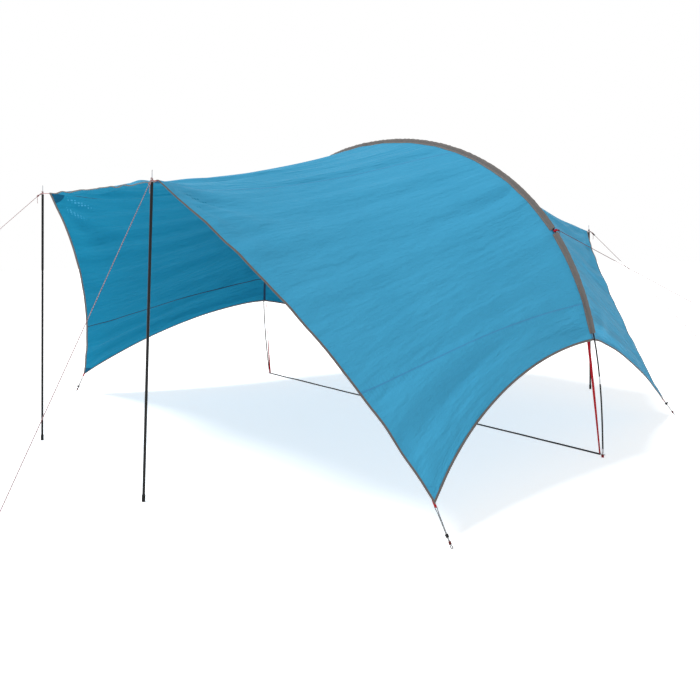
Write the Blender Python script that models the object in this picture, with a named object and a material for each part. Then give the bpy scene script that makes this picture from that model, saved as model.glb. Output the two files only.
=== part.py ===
"""Tunnel tent: a blue canopy over one leaning arch rod, held up by four upright poles and guy lines.

Metres, +Z up. The origin is on the floor, midway between the arch's two feet. The tall open end
faces -Y, the lower end +Y, and the tent is symmetric left to right. Right is +X.
"""

import math

import bmesh
import bpy
import numpy as np
from mathutils import Matrix, Vector

# Arch rod: a superellipse from foot to foot, in a plane that leans forward.
ARCH_HALF_WIDTH = 2.27
ARCH_HEIGHT = 2.475
ARCH_WIDTH_POWER = 2.13
ARCH_HEIGHT_POWER = 2.90
ARCH_LEAN = 0.10
ROD_RADIUS = 0.006
FERRULE_HEIGHT = 0.58
FERRULE_LENGTH = 0.056
FERRULE_BORE = 0.0066
FERRULE_RADIUS = 0.0080
TIP_LENGTH = 0.052
TIP_SOCKET_DEPTH = 0.030
TIP_PIN_RADIUS = 0.0045
TIP_PIN_LENGTH = 0.014
TIP_LIFT = 0.0008

# Sleeves that hold the rod on the canopy.
SLEEVE_HALF_WIDTH = 0.0250
SLEEVE_HALF_HEIGHT = 0.0090
SLEEVE_WALL = 0.0015
SLEEVE_FOOT = 0.93
SLEEVE_BREAK = 1.675
SLEEVE_BREAK_GAP = 0.030
CANOPY_DROP = 0.0125

# Canopy: fabric between the arch, four raised corners and four low corners.
FABRIC = 0.0012
PANEL_GAP = 0.0016
HEM_HEIGHT = 0.879
SEAM_HEIGHT = 2.33
WALL_CELLS = 8
ROOF_CELLS = 12
LENGTH_CELLS = 11
FRONT_EYELET = (0.993, -2.950, 2.000)
FRONT_LOW_CORNER = (2.587, -2.124, 0.203)
FRONT_FOOT = (0.967, -3.095, 0.0)
REAR_EYELET = (0.804, 1.889, 1.659)
REAR_LOW_CORNER = (1.899, 1.525, 0.140)
REAR_FOOT = (0.792, 2.043, 0.0)
# Tension in each part of the fabric net, against 1.0 along the tent.
FRONT_TENSION = {"roof": 0.75, "wall": 0.33, "top": 70.0, "side": 16.5, "hem": 4.2, "seam": 0.3}
REAR_TENSION = {"roof": 0.13, "wall": 0.14, "top": 70.0, "side": 6.4, "hem": 2.1, "seam": 4.0}

# Red corner tabs with an eyelet for the pole's spike.
TAB_HALF_WIDTH = 0.012
TAB_THICKNESS = 0.0024
FRONT_TAB_LENGTH = 0.048
REAR_TAB_LENGTH = 0.016
EYELET_RADIUS = 0.0046
FRONT_SET_IN = 0.050
REAR_SET_IN = 0.018
CORNER_ASIDE = 0.45
CORNER_RISE = 0.03

# Upright poles: plug-together steel tubes.
TUBE_RADIUS = 0.009
TUBE_BORE = 0.008
PLUG_RADIUS = 0.0075
PLUG_BORE = 0.0065
PLUG_LENGTH = 0.060
PLUG_GRIP = 0.010
SPIKE_RADIUS = 0.003
SPIKE_LENGTH = 0.065
SPIKE_POINT = 0.006
SPIKE_PLUG = 0.030
SHOULDER_DROP = 0.007
FOOT_RADIUS = 0.0115
FOOT_FLOOR = 0.006
FOOT_LENGTH = 0.045
JOINT_GAP = 0.0004

# Straps and rings at the arch's feet.
GROUND_STRAP_WIDTH = 0.038
STRAP_THICKNESS = 0.0018
RING_RADIUS = 0.017
RING_BORE = 0.0065
RING_THICKNESS = 0.004
HEM_STRAP_WIDTH = 0.020
HEM_STRAP_TOP = (2.163, -0.087, 0.864)
HEM_STRAP_FOOT = (2.246, -0.004, 0.008)
HEM_STRAP_START_TURN = 20
HEM_STRAP_TWIST = 70

# Cords: ties at the four low corners and six guy lines.
CORD_RADIUS = 0.0020
TIE_LOOP_RADIUS = 0.0065
TIE_START = 0.022
TIE_SPREAD = 0.0030
FRONT_TIE_TOP_SPREAD = 0.007
TIE_NARROWING = 0.040
TIE_SWELL_AT = (0.024, 0.014, 0.006)
FRONT_TIE_END = (2.749, -2.152, 0.0050)
REAR_TIE_END = (1.969, 1.606, 0.0050)
FRONT_LOCK_SHARE = 0.72
REAR_LOCK_SHARE = 0.25
LOCK_RADIUS = 0.0090
LOCK_BORE = 0.0058
LOCK_LENGTH = 0.018
GUY_START = 0.016
GUY_LOOP_RADIUS = 0.012
GUY_LOOP_NECK = 0.040
GUY_LOOP_START = -120
GUY_LOOP_SWEEP = 290
GUY_TAIL_GAP = 0.0045
GUY_SPANS = 12
GUY_SAG = 0.0005
FRONT_GUY_END = (2.81, -4.83, 0.0050)
REAR_GUY_END = (2.02, 3.09, 0.0050)
ARCH_GUY_END = (2.83, 3.75, 0.0050)
ARCH_GUY_STANDOFF = 0.0225
ARCH_GUY_OUT = (0.55, 0.70, 0.30)
RUNNER_AT = 0.045
RUNNER_LENGTH = 0.032
RUNNER_RADIUS = 0.0060
RUNNER_BORE = 0.0029

SIDES = (("right", 1), ("left", -1))
UPRIGHTS = (
    ("front", FRONT_EYELET, FRONT_FOOT, FRONT_TAB_LENGTH, ("lower", "middle", "upper")),
    ("rear", REAR_EYELET, REAR_FOOT, REAR_TAB_LENGTH, ("lower", "upper")),
)


def clear_scene():
    for obj in list(bpy.data.objects):
        bpy.data.objects.remove(obj, do_unlink=True)


def material(name, color, roughness, metallic=0.0):
    made = bpy.data.materials.new(name)
    made.use_nodes = True
    shader = made.node_tree.nodes["Principled BSDF"]
    shader.inputs["Base Color"].default_value = (*color, 1.0)
    shader.inputs["Roughness"].default_value = roughness
    shader.inputs["Metallic"].default_value = metallic
    return made


def add_object(name, data, finish, smooth=False):
    obj = bpy.data.objects.new(name, data)
    bpy.context.scene.collection.objects.link(obj)
    data.materials.append(finish)
    if smooth and obj.type == "MESH":
        data.shade_smooth()
        data.set_sharp_from_angle(angle=math.radians(35))
    return obj


def solid(name, verts, faces, finish, smooth=False):
    """One closed body, its faces turned outward."""
    mesh = bpy.data.meshes.new(name)
    mesh.from_pydata([tuple(v) for v in verts], [], faces)
    shell = bmesh.new()
    shell.from_mesh(mesh)
    bmesh.ops.recalc_face_normals(shell, faces=shell.faces)
    shell.to_mesh(mesh)
    shell.free()
    return add_object(name, mesh, finish, smooth)


def mirrored(point, side):
    return Vector((point[0] * side, point[1], point[2]))


def turned(name, profile, base, axis, finish, sides=16):
    """A turned piece from (radius, height) points; a profile that leaves the axis is a ring."""
    rings = []
    verts = []
    for radius, height in profile:
        if radius == 0:
            rings.append([len(verts)] * sides)
            verts.append((0.0, 0.0, height))
            continue
        rings.append(list(range(len(verts), len(verts) + sides)))
        for k in range(sides):
            turn = 2 * math.pi * k / sides
            verts.append((radius * math.cos(turn), radius * math.sin(turn), height))
    pairs = list(zip(rings, rings[1:]))
    if profile[0][0] > 0:
        pairs.append((rings[-1], rings[0]))
    faces = []
    for low, high in pairs:
        for k in range(sides):
            n = (k + 1) % sides
            corners = [low[k], low[n], high[n], high[k]]
            faces.append(list(dict.fromkeys(corners)))
    obj = solid(name, verts, faces, finish, smooth=True)
    turn = Vector((0, 0, 1)).rotation_difference(Vector(axis)).to_matrix().to_4x4()
    obj.matrix_world = Matrix.Translation(base) @ turn
    return obj


def tube(name, points, radius, finish, resolution=2):
    """A solid rod or cord along the points."""
    curve = bpy.data.curves.new(name, "CURVE")
    curve.dimensions = "3D"
    curve.bevel_depth = radius
    curve.bevel_resolution = resolution
    curve.use_fill_caps = True
    spline = curve.splines.new("POLY")
    spline.points.add(len(points) - 1)
    for spot, point in zip(spline.points, points):
        spot.co = (*point, 1.0)
    return add_object(name, curve, finish)


def ribbon(name, centers, across, thickness, finish):
    """A flat strap: at each centre, across is half its width as a vector."""
    verts = []
    for k, center in enumerate(centers):
        before = centers[max(k - 1, 0)]
        after = centers[min(k + 1, len(centers) - 1)]
        face = (after - before).cross(across[k]).normalized() * thickness / 2
        for edge, lift in ((-1, -1), (1, -1), (1, 1), (-1, 1)):
            verts.append(center + across[k] * edge + face * lift)
    faces = [[0, 1, 2, 3], [len(verts) - 4 + k for k in range(4)]]
    for k in range(len(centers) - 1):
        for a in range(4):
            b = (a + 1) % 4
            faces.append([4 * k + a, 4 * k + b, 4 * k + 4 + b, 4 * k + 4 + a])
    return solid(name, verts, faces, finish)


# ---- Arch ----


def arch_line(start_angle, end_angle, count, drop=0.0):
    """Evenly spaced points on the rod's centre line; drop moves them in towards the room."""
    angle = np.linspace(start_angle, end_angle, 900)
    x = ARCH_HALF_WIDTH * np.sign(np.cos(angle)) * np.abs(np.cos(angle)) ** (2 / ARCH_WIDTH_POWER)
    z = ARCH_HEIGHT * np.abs(np.sin(angle)) ** (2 / ARCH_HEIGHT_POWER)
    length = np.concatenate([[0], np.cumsum(np.hypot(np.diff(x), np.diff(z)))])
    even = np.linspace(0, length[-1], count)
    x = np.interp(even, length, x)
    z = np.interp(even, length, z)
    run = np.gradient(x)
    rise = np.gradient(z)
    size = np.hypot(run, rise)
    x, z = x - drop * rise / size, z + drop * run / size
    return np.column_stack([x, -ARCH_LEAN * z, z])


def arch_angle(height):
    """The angle at which the right side of the arch is at this height."""
    return math.asin((height / ARCH_HEIGHT) ** (ARCH_HEIGHT_POWER / 2))


def arch_span(low, high, side, count):
    """Points up one side of the arch, from one height to the other."""
    line = arch_line(arch_angle(low), arch_angle(high), count)
    return [mirrored(p, side) for p in line]


def sleeve(name, line, finish):
    """A flat fabric tube round the rod, open at both ends."""
    fore = Vector((0, 1, ARCH_LEAN)).normalized()
    shape = [2 * math.pi * k / 8 for k in range(8)]
    verts = []
    for k, center in enumerate(line):
        along = (line[min(k + 1, len(line) - 1)] - line[max(k - 1, 0)]).normalized()
        up = fore.cross(along).normalized()
        for wall in (0.0, SLEEVE_WALL):
            for turn in shape:
                wide = (SLEEVE_HALF_WIDTH - wall) * math.cos(turn)
                high = (SLEEVE_HALF_HEIGHT - wall) * math.sin(turn)
                verts.append(center + fore * wide + up * high)
    faces = []
    last = 16 * (len(line) - 1)
    for a in range(8):
        b = (a + 1) % 8
        for k in range(len(line) - 1):
            low, high = 16 * k, 16 * k + 16
            faces.append([low + a, low + b, high + b, high + a])
            faces.append([low + 8 + a, low + 8 + b, high + 8 + b, high + 8 + a])
        faces.append([a, b, 8 + b, 8 + a])
        faces.append([last + a, last + b, last + 8 + b, last + 8 + a])
    return solid(name, verts, faces, finish, smooth=True)


def build_arch(rod, metal, grey):
    for name, side in SIDES:
        foot = arch_span(0.0001, FERRULE_HEIGHT, side, 40)
        up = (foot[1] - foot[0]).normalized()
        base = Vector((foot[0].x, 0.0, 0.0))
        socket = TIP_LENGTH - TIP_SOCKET_DEPTH
        profile = [(0, 0), (TIP_PIN_RADIUS, 0), (TIP_PIN_RADIUS, TIP_PIN_LENGTH)]
        profile += [(FERRULE_RADIUS, TIP_PIN_LENGTH + 0.002), (FERRULE_RADIUS, TIP_LENGTH)]
        profile += [(FERRULE_BORE, TIP_LENGTH), (FERRULE_BORE, socket), (0, socket)]
        turned(f"arch_tip_{name}", profile, base + up * TIP_LIFT, up, metal)
        clear = socket + TIP_LIFT + JOINT_GAP
        section = [p for p in foot if p.z > clear + ROD_RADIUS]
        start = base + up * clear
        middle = foot[-1]
        along = (foot[-1] - foot[-2]).normalized()
        section = [start] + section[:-1:4] + [middle - along * JOINT_GAP]
        tube(f"arch_rod_{name}", section, ROD_RADIUS, rod, 2)
        half = FERRULE_LENGTH / 2
        ring = [(FERRULE_RADIUS, -half), (FERRULE_RADIUS, half)]
        ring += [(FERRULE_BORE, half), (FERRULE_BORE, -half)]
        turned(f"arch_ferrule_{name}", ring, middle, along, metal)
    start = arch_angle(FERRULE_HEIGHT + JOINT_GAP)
    crown = arch_line(start, math.pi - start, 60)
    tube("arch_rod_crown", [Vector(p) for p in crown], ROD_RADIUS, rod, 2)
    high = SLEEVE_BREAK + SLEEVE_BREAK_GAP / 2
    low = SLEEVE_BREAK - SLEEVE_BREAK_GAP / 2
    over = arch_line(arch_angle(high), math.pi - arch_angle(high), 33)
    sleeve("sleeve_crown", [Vector(p) for p in over], grey)
    for name, side in SIDES:
        sleeve(f"sleeve_{name}", arch_span(SLEEVE_FOOT, low, side, 8), grey)


# ---- Canopy ----


def fabric_net(raised, low, tension, along):
    """The rest shape of a stretched net: rows run from the arch to the end edge.

    Each link pulls in proportion to its length, so the free points are where the pulls balance.
    """
    columns = 2 * WALL_CELLS + ROOF_CELLS
    count = (columns + 1) * (LENGTH_CELLS + 1)
    seams = (WALL_CELLS, WALL_CELLS + ROOF_CELLS)

    def number(column, row):
        return row * (columns + 1) + column

    hem, seam = arch_angle(HEM_HEIGHT), arch_angle(SEAM_HEIGHT)
    right = arch_line(hem, seam, WALL_CELLS + 1, CANOPY_DROP)
    top = arch_line(seam, math.pi - seam, ROOF_CELLS + 1, CANOPY_DROP)
    left = right[::-1] * (-1, 1, 1)
    first = np.vstack([right, top[1:-1], left])
    first[:, 1] += along * PANEL_GAP
    place = np.zeros((count, 3))
    held = np.zeros(count, bool)
    for column in range(columns + 1):
        place[number(column, 0)] = first[column]
        held[number(column, 0)] = True
    ends = ((0, low, 1), (seams[0], raised, 1), (seams[1], raised, -1), (columns, low, -1))
    for column, point, side in ends:
        place[number(column, LENGTH_CELLS)] = mirrored(point, side)
        held[number(column, LENGTH_CELLS)] = True
    pull = np.zeros((count, count))

    def link(a, b, force):
        pull[a, a] += force
        pull[b, b] += force
        pull[a, b] -= force
        pull[b, a] -= force

    for row in range(1, LENGTH_CELLS + 1):
        for column in range(columns):
            wall = not seams[0] <= column < seams[1]
            cells = WALL_CELLS if wall else ROOF_CELLS
            kind = "wall" if wall else "roof"
            if row == LENGTH_CELLS:
                kind = "side" if wall else "top"
            link(number(column, row), number(column + 1, row), tension[kind] * cells)
    for column in range(columns + 1):
        force = 1.0
        if column in (0, columns):
            force = tension["hem"]
        elif column in seams:
            force = tension["seam"]
        for row in range(LENGTH_CELLS):
            link(number(column, row), number(column, row + 1), force * LENGTH_CELLS)
    free = ~held
    place[free] = np.linalg.solve(pull[np.ix_(free, free)], -pull[np.ix_(free, held)] @ place[held])
    return place.reshape(LENGTH_CELLS + 1, columns + 1, 3)


def panel(name, grid, finish):
    """A fabric panel as a thin closed solid, drawn in a little at its seams."""
    grid = grid.copy()
    for edge, inner in ((0, 1), (-1, -2)):
        step = grid[:, inner] - grid[:, edge]
        grid[:, edge] += step / np.linalg.norm(step, axis=1)[:, None] * PANEL_GAP
    normal = np.cross(np.gradient(grid, axis=1), np.gradient(grid, axis=0))
    normal /= np.linalg.norm(normal, axis=2)[:, :, None]
    rows, columns = grid.shape[:2]
    size = rows * columns
    outer = (grid + normal * FABRIC / 2).reshape(-1, 3)
    inner = (grid - normal * FABRIC / 2).reshape(-1, 3)
    verts = [*outer, *inner]

    def at(row, column):
        return row * columns + column

    faces = []
    for row in range(rows - 1):
        for column in range(columns - 1):
            cell = [at(row, column), at(row, column + 1), at(row + 1, column + 1), at(row + 1, column)]
            faces += [cell, [size + k for k in cell]]
    rim = [at(0, c) for c in range(columns)]
    rim += [at(r, columns - 1) for r in range(1, rows)]
    rim += [at(rows - 1, c) for c in range(columns - 2, -1, -1)]
    rim += [at(r, 0) for r in range(rows - 2, 0, -1)]
    for a, b in zip(rim, rim[1:] + rim[:1]):
        faces.append([a, b, size + b, size + a])
    return solid(name, verts, faces, finish, smooth=True)


def raised_corner(end):
    """The fabric's raised corner on the right, a tab's length in from the eyelet."""
    eyelet, distance, along = {
        "front": (FRONT_EYELET, FRONT_SET_IN, -1),
        "rear": (REAR_EYELET, REAR_SET_IN, 1),
    }[end]
    inward = Vector((-CORNER_ASIDE, -along, CORNER_RISE)).normalized()
    return Vector(eyelet) + inward * distance


def build_canopy(blue):
    ends = (
        ("front", FRONT_LOW_CORNER, FRONT_TENSION, -1),
        ("rear", REAR_LOW_CORNER, REAR_TENSION, 1),
    )
    for end, low, tension, along in ends:
        net = fabric_net(raised_corner(end), low, tension, along)
        last = WALL_CELLS + ROOF_CELLS
        panel(f"canopy_{end}_wall_right", net[:, : WALL_CELLS + 1], blue)
        panel(f"canopy_{end}_roof", net[:, WALL_CELLS : last + 1], blue)
        panel(f"canopy_{end}_wall_left", net[:, last:], blue)


def corner_tab(name, eyelet, corner, length, finish):
    """A webbing tab, flat, from the eyelet to the fabric's corner, with the eyelet's hole."""
    toward = (corner - eyelet).to_2d().normalized()
    end_corner = math.atan2(TAB_HALF_WIDTH, length)
    angles = {2 * math.pi * k / 24 for k in range(24)}
    angles = sorted(angles | {end_corner, 2 * math.pi - end_corner})
    verts = []
    for lift in (-TAB_THICKNESS / 2, TAB_THICKNESS / 2):
        for turn in angles:
            reach = TAB_HALF_WIDTH
            if math.cos(turn) > 0.01:
                side = TAB_HALF_WIDTH / max(abs(math.sin(turn)), 1e-6)
                reach = min(length / math.cos(turn), side)
            for radius in (EYELET_RADIUS, reach):
                along = math.cos(turn) * radius
                aside = math.sin(turn) * radius
                spot = eyelet.to_2d() + toward * along + toward.orthogonal() * aside
                verts.append((spot.x, spot.y, eyelet.z + lift))
    count = len(angles)
    faces = []
    for k in range(count):
        n = (k + 1) % count
        hole, rim, hole_next, rim_next = 2 * k, 2 * k + 1, 2 * n, 2 * n + 1
        top = 2 * count
        faces.append([hole, rim, rim_next, hole_next])
        faces.append([top + hole, top + rim, top + rim_next, top + hole_next])
        faces.append([rim, rim_next, top + rim_next, top + rim])
        faces.append([hole, hole_next, top + hole_next, top + hole])
    return solid(name, verts, faces, finish)


# ---- Upright poles ----


def section_profile(length):
    """A tube section with a narrower plug on top that fits the next section's bore."""
    top = length + PLUG_LENGTH
    step = length - PLUG_GRIP
    profile = [(TUBE_BORE, 0), (TUBE_RADIUS, 0), (TUBE_RADIUS, length), (PLUG_RADIUS, length)]
    return profile + [(PLUG_RADIUS, top), (PLUG_BORE, top), (PLUG_BORE, step), (TUBE_BORE, step)]


def upright(end, eyelet, foot, sections, finishes):
    """One pole from its rubber foot to the spike that stands in the eyelet."""
    black, metal, rubber = finishes
    eyelet, foot = Vector(eyelet), Vector(foot)
    up = (eyelet - foot).normalized()
    whole = (eyelet - foot).length
    floor_clearance = FOOT_RADIUS * math.hypot(up.x, up.y) + 0.0002
    inside = FOOT_FLOOR + floor_clearance + JOINT_GAP
    top = whole - SHOULDER_DROP
    cut = (top - inside) / len(sections)
    for k, part in enumerate(sections):
        base = foot + up * (inside + k * cut)
        length = cut - JOINT_GAP
        profile = section_profile(length)
        if part == "upper":
            profile = [(TUBE_BORE, 0), (TUBE_RADIUS, 0), (TUBE_RADIUS, length), (TUBE_BORE, length)]
        turned(f"{end}_{part}", profile, base, up, black)
    cap = [(0, 0), (FOOT_RADIUS - 0.0015, 0), (FOOT_RADIUS, 0.004), (FOOT_RADIUS, FOOT_LENGTH)]
    cap += [(TUBE_RADIUS + JOINT_GAP, FOOT_LENGTH), (TUBE_RADIUS + JOINT_GAP, FOOT_FLOOR), (0, FOOT_FLOOR)]
    turned(f"{end}_foot", cap, foot + up * floor_clearance, up, rubber)
    shank = [(0, -SPIKE_PLUG), (PLUG_RADIUS, -SPIKE_PLUG)]
    shank += [(PLUG_RADIUS, JOINT_GAP), (TUBE_RADIUS, JOINT_GAP)]
    shank += [(TUBE_RADIUS, 0.0015), (SPIKE_RADIUS, 0.003), (SPIKE_RADIUS, SPIKE_LENGTH)]
    point = SPIKE_LENGTH + SPIKE_POINT
    shank += [(SPIKE_RADIUS * 0.4, point), (0, point)]
    turned(f"{end}_spike", shank, eyelet - up * SHOULDER_DROP, up, metal)


def build_uprights(red, finishes):
    for name, side in SIDES:
        for end, eyelet, foot, tab_length, sections in UPRIGHTS:
            top = mirrored(eyelet, side)
            corner = mirrored(raised_corner(end), side)
            corner_tab(f"{end}_tab_{name}", top, corner, tab_length, red)
            upright(f"{end}_pole_{name}", top, mirrored(foot, side), sections, finishes)


# ---- Straps at the arch's feet ----


def build_straps(red, black, metal):
    reach = ARCH_HALF_WIDTH - RING_RADIUS - JOINT_GAP
    lift = Vector((0, 0, STRAP_THICKNESS / 2))
    centers = [Vector((x, 0, 0)) + lift for x in np.linspace(-reach, reach, 9)]
    across = [Vector((0, GROUND_STRAP_WIDTH / 2, 0))] * len(centers)
    ribbon("ground_strap", centers, across, STRAP_THICKNESS, black)
    for name, side in SIDES:
        ring = [(RING_RADIUS, 0), (RING_RADIUS, RING_THICKNESS)]
        ring += [(RING_BORE, RING_THICKNESS), (RING_BORE, 0)]
        turned(f"foot_ring_{name}", ring, (side * ARCH_HALF_WIDTH, 0, 0), (0, 0, 1), metal, 20)
        top, low = mirrored(HEM_STRAP_TOP, side), mirrored(HEM_STRAP_FOOT, side)
        centers = []
        across = []
        for k in range(13):
            share = k / 12
            turn = math.radians(HEM_STRAP_START_TURN + HEM_STRAP_TWIST * share)
            centers.append(top.lerp(low, share))
            across.append(Vector((side * math.cos(turn), math.sin(turn), 0)) * HEM_STRAP_WIDTH / 2)
        ribbon(f"hem_strap_{name}", centers, across, STRAP_THICKNESS, red)


# ---- Cords ----


def tie_points(corner, end, top_spread):
    """A corner tie: a doubled cord from the tab to the floor and back, as one long loop."""
    along = (end - corner).normalized()
    aside = along.cross(Vector((0, 0, 1))).normalized()
    length = (end - corner).length
    turn_at = length - TIE_LOOP_RADIUS
    neck, flare, shoulder = (turn_at - before for before in TIE_SWELL_AT)
    stations = [(TIE_START, top_spread), (TIE_START + TIE_NARROWING, TIE_SPREAD), (neck, TIE_SPREAD)]
    stations += [(flare, TIE_SPREAD + 0.0008), (shoulder, TIE_LOOP_RADIUS - 0.001)]
    down = [corner + along * reach + aside * spread for reach, spread in stations]
    back = [corner + along * reach - aside * spread for reach, spread in reversed(stations)]
    bend = []
    for k in range(7):
        turn = math.pi * k / 6
        around = aside * math.cos(turn) + along * math.sin(turn)
        bend.append(corner + along * turn_at + around * TIE_LOOP_RADIUS)
    return down + bend + back


def guy_points(start, end):
    """A guy line, taut but for a slight sag, that ends on the floor in a loop."""
    along = (end - start).normalized()
    aside = along.cross(Vector((0, 0, 1))).normalized()
    reach = (end - start).length - 2 * GUY_LOOP_RADIUS - GUY_LOOP_NECK
    line = []
    for k in range(GUY_SPANS + 1):
        share = k / GUY_SPANS
        sag = 4 * GUY_SAG * share * (1 - share)
        line.append(start + along * reach * share - Vector((0, 0, sag)))
    middle = end - along * GUY_LOOP_RADIUS
    for k in range(13):
        turn = math.radians(GUY_LOOP_START + GUY_LOOP_SWEEP * k / 12)
        line.append(middle + (aside * math.cos(turn) + along * math.sin(turn)) * GUY_LOOP_RADIUS)
    line.append(start + along * reach + aside * GUY_TAIL_GAP)
    return line


def guy_ends(kind, side):
    """Where a guy line leaves the tent, and where it ends on the floor."""
    if kind == "arch":
        hold = arch_span(SLEEVE_BREAK, SLEEVE_BREAK + JOINT_GAP, 1, 2)[0]
        out = Vector(ARCH_GUY_OUT).normalized()
        return mirrored(hold + out * ARCH_GUY_STANDOFF, side), mirrored(ARCH_GUY_END, side)
    eyelet, end = {
        "front": (FRONT_EYELET, FRONT_GUY_END),
        "rear": (REAR_EYELET, REAR_GUY_END),
    }[kind]
    eyelet, end = mirrored(eyelet, side), mirrored(end, side)
    level = end - eyelet
    level.z = 0
    return eyelet + level.normalized() * GUY_START, end


def build_cords(cord, black):
    ties = (
        ("front", FRONT_LOW_CORNER, FRONT_TIE_END, FRONT_LOCK_SHARE, FRONT_TIE_TOP_SPREAD),
        ("rear", REAR_LOW_CORNER, REAR_TIE_END, REAR_LOCK_SHARE, TIE_SPREAD),
    )
    for name, side in SIDES:
        for end, corner, floor, share, spread in ties:
            corner, floor = mirrored(corner, side), mirrored(floor, side)
            tube(f"{end}_tie_{name}", tie_points(corner, floor, spread), CORD_RADIUS, cord)
            along = (floor - corner).normalized()
            half = LOCK_LENGTH / 2
            barrel = [(LOCK_RADIUS, -half), (LOCK_RADIUS, half), (LOCK_BORE, half), (LOCK_BORE, -half)]
            turned(f"{end}_lock_{name}", barrel, corner.lerp(floor, share), along, black)
        for kind in ("front", "rear", "arch"):
            start, end = guy_ends(kind, side)
            tube(f"{kind}_guy_{name}", guy_points(start, end), CORD_RADIUS, cord)
        start, end = guy_ends("rear", side)
        along = (end - start).normalized()
        half = RUNNER_LENGTH / 2
        barrel = [(RUNNER_RADIUS, -half), (RUNNER_RADIUS, half), (RUNNER_BORE, half), (RUNNER_BORE, -half)]
        turned(f"rear_runner_{name}", barrel, start + along * RUNNER_AT, along, black, 12)


def main():
    clear_scene()
    blue = material("canopy_blue", (0.07, 0.33, 0.58), 0.55)
    grey = material("sleeve_grey", (0.16, 0.14, 0.13), 0.8)
    red = material("webbing_red", (0.42, 0.01, 0.02), 0.7)
    webbing = material("webbing_black", (0.012, 0.012, 0.013), 0.75)
    rod = material("rod_black", (0.010, 0.010, 0.011), 0.35)
    tube_black = material("tube_black", (0.015, 0.014, 0.014), 0.4, 0.4)
    metal = material("bare_metal", (0.55, 0.55, 0.56), 0.35, 1.0)
    rubber = material("rubber_black", (0.015, 0.015, 0.015), 0.8)
    plastic = material("plastic_black", (0.014, 0.014, 0.015), 0.45)
    cord = material("guy_cord", (0.45, 0.12, 0.14), 0.8)
    build_arch(rod, metal, grey)
    build_canopy(blue)
    build_uprights(red, (tube_black, metal, rubber))
    build_straps(red, webbing, metal)
    build_cords(cord, plastic)


main()
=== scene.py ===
"""The looks of a tunnel tent: cloth, tapes, seams, webbing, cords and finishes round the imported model.

Metres, +Z up, in the model's own frame: right is +X, and the tall open end faces -Y.
"""

import math

import bmesh
import bpy
import numpy as np
from mathutils import Matrix, Vector

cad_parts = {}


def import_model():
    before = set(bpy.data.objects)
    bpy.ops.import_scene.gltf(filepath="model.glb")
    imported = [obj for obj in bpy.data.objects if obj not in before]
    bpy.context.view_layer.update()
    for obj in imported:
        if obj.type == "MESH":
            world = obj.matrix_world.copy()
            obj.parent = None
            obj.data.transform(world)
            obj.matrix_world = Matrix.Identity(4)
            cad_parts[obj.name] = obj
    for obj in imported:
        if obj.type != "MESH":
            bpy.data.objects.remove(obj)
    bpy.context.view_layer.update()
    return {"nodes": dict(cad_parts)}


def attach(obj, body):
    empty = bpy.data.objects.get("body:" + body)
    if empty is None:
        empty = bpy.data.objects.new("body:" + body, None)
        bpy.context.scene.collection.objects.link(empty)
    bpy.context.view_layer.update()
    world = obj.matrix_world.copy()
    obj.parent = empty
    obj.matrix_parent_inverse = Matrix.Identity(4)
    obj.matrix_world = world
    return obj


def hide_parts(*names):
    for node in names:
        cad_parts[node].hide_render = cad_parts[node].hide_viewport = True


# Camera.
CAMERA_PLACE = (5.4887, -5.0849, 1.7018)
CAMERA_YAW = -0.8860
CAMERA_PITCH = -0.1537
CAMERA_ROLL = -0.0079
CAMERA_LENS = 40.22

# Studio light.
SKY_TOP = 0.28
SUN_STRENGTH = 2.7
SUN_SPREAD = 20
SUN_FROM = (-0.40, -0.40, 1.0)

# Arch rod.
ARCH_HALF_WIDTH = 2.27
ARCH_HEIGHT = 2.475
ARCH_WIDTH_POWER = 2.13
ARCH_HEIGHT_POWER = 2.90
ARCH_LEAN = 0.10
CANOPY_DROP = 0.0125
SLEEVE_FOOT = 0.93
SLEEVE_BREAK = 1.675
SLEEVE_BREAK_GAP = 0.030

# Canopy net, as the model has it, and how finely its cloth is drawn.
PANEL_GAP = 0.0016
HEM_HEIGHT = 0.879
SEAM_HEIGHT = 2.33
WALL_CELLS = 8
ROOF_CELLS = 12
LENGTH_CELLS = 11
COLUMNS = 2 * WALL_CELLS + ROOF_CELLS
FINE = 12
CLOTH = 0.0007
SLEEVE_HALF_WIDTH = 0.0275
CORNER_ASIDE = 0.45
CORNER_RISE = 0.03
BROAD_WAVES = 0.0082
SMALL_WAVES = 0.0013
RAISED_FOLDS = 0.0095
LOW_FOLDS = 0.0055
CREASE = 0.0040
PATCH_REACH = {"raised": 0.115, "low": 0.10}

# Cords.
CORD_RADIUS = 0.0020
TIE_LOOP_RADIUS = 0.0065
TIE_START = 0.022
TIE_SPREAD = 0.0030
TIE_NARROWING = 0.040
TIE_SWELL_AT = (0.024, 0.014, 0.006)
GUY_START = 0.016
GUY_LOOP_RADIUS = 0.012
GUY_LOOP_NECK = 0.040
GUY_LOOP_START = -120
GUY_LOOP_SWEEP = 290
GUY_TAIL_GAP = 0.0045
GUY_SPANS = 12
GUY_SAG = 0.0005
ARCH_GUY_END = (2.83, 3.75, 0.0050)
ARCH_GUY_STANDOFF = 0.0225
ARCH_GUY_OUT = (0.55, 0.70, 0.30)
STRAND = 0.0020
FINE_STRAND = 0.0019
KNOT_PITCH = 0.0041
KNOT_FROM_EYELET = 0.030
KNOT_FROM_LOOP = 0.010
LOOP_OVER_EYELET = 0.0032
WRAP_OVER_LOOP = 0.008
TAIL_LENGTH = 0.055
TIE_KNOT_FROM_END = 0.031
BIGHT_HALF_WIDTH = 0.0085

# Cord locks: (radius, height) profiles along the button and along the lock.
LOCK_BUTTON = ((0, 0.0), (0.0046, 0.0), (0.0046, 0.0130), (0.0040, 0.0142), (0, 0.0144))
LOCK_RIB = ((0.0089, -0.0014), (0.0098, -0.0009), (0.0098, 0.0009), (0.0089, 0.0014))
LOCK_RIB_AT = (("upper", -0.0065), ("lower", 0.0065))
LOCK_BUTTON_FROM_AXIS = 0.0072

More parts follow.
